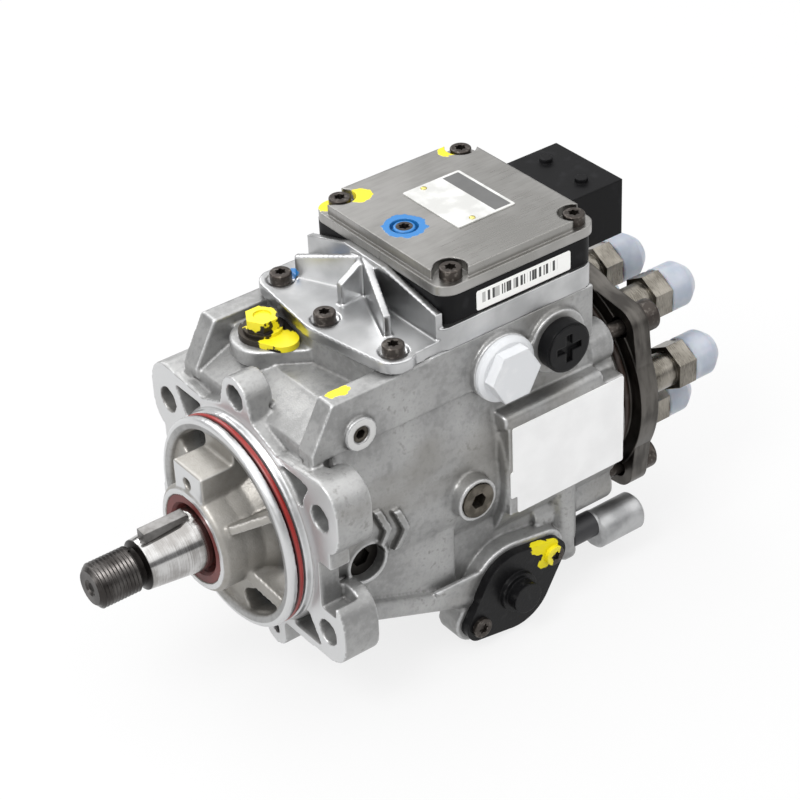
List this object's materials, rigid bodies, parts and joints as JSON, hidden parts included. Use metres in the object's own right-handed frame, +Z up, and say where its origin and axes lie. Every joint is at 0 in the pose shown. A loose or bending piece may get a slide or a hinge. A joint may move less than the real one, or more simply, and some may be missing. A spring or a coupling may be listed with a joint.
{
  "type": "fuel pump",
  "caption": "Distributor injection pump: cast housing with flange and tapered drive shaft, control unit on top, distributor head with capped delivery connections at the rear",
  "frame": {"origin": "On the drive shaft's axis, in the plane of the mounting flange's face", "axes": "+X runs along the shaft axis towards the delivery connections, +Z points up to the control unit, and the fuel ports face -Y"},
  "size_m": [0.2794, 0.122, 0.1672],
  "materials": {
    "cast_alloy": "as cast, blasted",
    "red_rubber": "smooth",
    "seal_rubber": "moulded",
    "brown_rubber": "smooth",
    "bearing_bronze": "bored",
    "shaft_steel": "ground",
    "black_steel": "black oxide",
    "inner_steel": "ground and lapped",
    "spring_steel": "drawn wire",
    "head_steel": "oiled, dark",
    "zinc_steel": "plated",
    "clear_plastic": "translucent",
    "white_plastic": "moulded",
    "black_plastic": "moulded",
    "black_cast": "black coated",
    "bright_can": "turned",
    "die_cast": "smooth die cast",
    "lid_metal": "brushed",
    "board": "lacquered"
  },
  "bodies": {
    "pump": {"pump_housing": "cast_alloy", "pilot_o_ring": "red_rubber", "shaft_seal": "seal_rubber", "front_bearing": "bearing_bronze", "lock_bolt": "black_steel", "lock_washer": "black_steel", "feed_ring": "inner_steel", "feed_cover": "inner_steel", "distributor_head": "head_steel", "head_seal_ring": "brown_rubber", "head_screws": "black_steel", "delivery_holder_1": "zinc_steel", "delivery_holder_2": "zinc_steel", "delivery_holder_3": "zinc_steel", "delivery_holder_4": "zinc_steel", "delivery_holder_5": "zinc_steel", "delivery_holder_6": "zinc_steel", "delivery_cap_1": "clear_plastic", "delivery_cap_2": "clear_plastic", "delivery_cap_3": "clear_plastic", "delivery_cap_4": "clear_plastic", "delivery_cap_5": "clear_plastic", "delivery_cap_6": "clear_plastic", "metering_solenoid": "head_steel", "timing_spring": "spring_steel", "timing_cover": "black_cast", "timing_cover_screws": "black_steel", "timing_plug": "zinc_steel", "timing_solenoid": "bright_can", "inlet_fitting": "zinc_steel", "inlet_cap": "white_plastic", "return_fitting": "zinc_steel", "return_cap": "black_plastic", "control_base": "die_cast", "control_frame": "black_plastic", "control_lid": "lid_metal", "lid_screws": "black_steel", "base_screws": "black_steel", "circuit_board": "board", "side_plugs": "black_steel"},
    "shaft": {"drive_shaft": "shaft_steel", "shaft_key": "shaft_steel", "feed_rotor": "inner_steel", "feed_vanes": "inner_steel", "trigger_wheel": "inner_steel", "roller_shoes": "inner_steel", "rollers": "inner_steel", "plungers": "inner_steel", "distributor_rotor": "inner_steel"},
    "cam": {"cam_ring": "inner_steel", "cam_pin": "inner_steel", "angle_sensor": "black_plastic"},
    "piston": {"timing_piston": "inner_steel"},
    "needle": {"metering_needle": "inner_steel"},
    "valve_1": {"delivery_valve_1": "inner_steel"},
    "valve_2": {"delivery_valve_2": "inner_steel"},
    "valve_3": {"delivery_valve_3": "inner_steel"},
    "valve_4": {"delivery_valve_4": "inner_steel"},
    "valve_5": {"delivery_valve_5": "inner_steel"},
    "valve_6": {"delivery_valve_6": "inner_steel"}
  },
  "joints": [
    {"name": "shaft_spin", "type": "hinge", "parent": "pump", "child": "shaft", "pos_m": [0, 0, 0], "axis": [1, 0, 0], "continuous": true},
    {"name": "cam_ring_turn", "type": "hinge", "parent": "pump", "child": "cam", "pos_m": [0.0895, 0, 0], "axis": [1, 0, 0], "range_deg": [0, 15]},
    {"name": "timing_piston_slide", "type": "slide", "parent": "pump", "child": "piston", "axis": [0, 1, 0], "range_m": [0, 0.0136], "deforming": ["timing_spring"]},
    {"name": "metering_needle_slide", "type": "slide", "parent": "pump", "child": "needle", "axis": [1, 0, 0], "range_m": [0, 0.0004]},
    {"name": "delivery_valve_1_slide", "type": "slide", "parent": "pump", "child": "valve_1", "axis": [1, 0, 0], "range_m": [0, 0.0008]},
    {"name": "delivery_valve_2_slide", "type": "slide", "parent": "pump", "child": "valve_2", "axis": [1, 0, 0], "range_m": [0, 0.0008]},
    {"name": "delivery_valve_3_slide", "type": "slide", "parent": "pump", "child": "valve_3", "axis": [1, 0, 0], "range_m": [0, 0.0008]},
    {"name": "delivery_valve_4_slide", "type": "slide", "parent": "pump", "child": "valve_4", "axis": [1, 0, 0], "range_m": [0, 0.0008]},
    {"name": "delivery_valve_5_slide", "type": "slide", "parent": "pump", "child": "valve_5", "axis": [1, 0, 0], "range_m": [0, 0.0008]},
    {"name": "delivery_valve_6_slide", "type": "slide", "parent": "pump", "child": "valve_6", "axis": [1, 0, 0], "range_m": [0, 0.0008]}
  ],
  "couplings": [
    {"joint": "timing_piston_slide", "follows": "cam_ring_turn", "m_per_rad": 0.052}
  ]
}
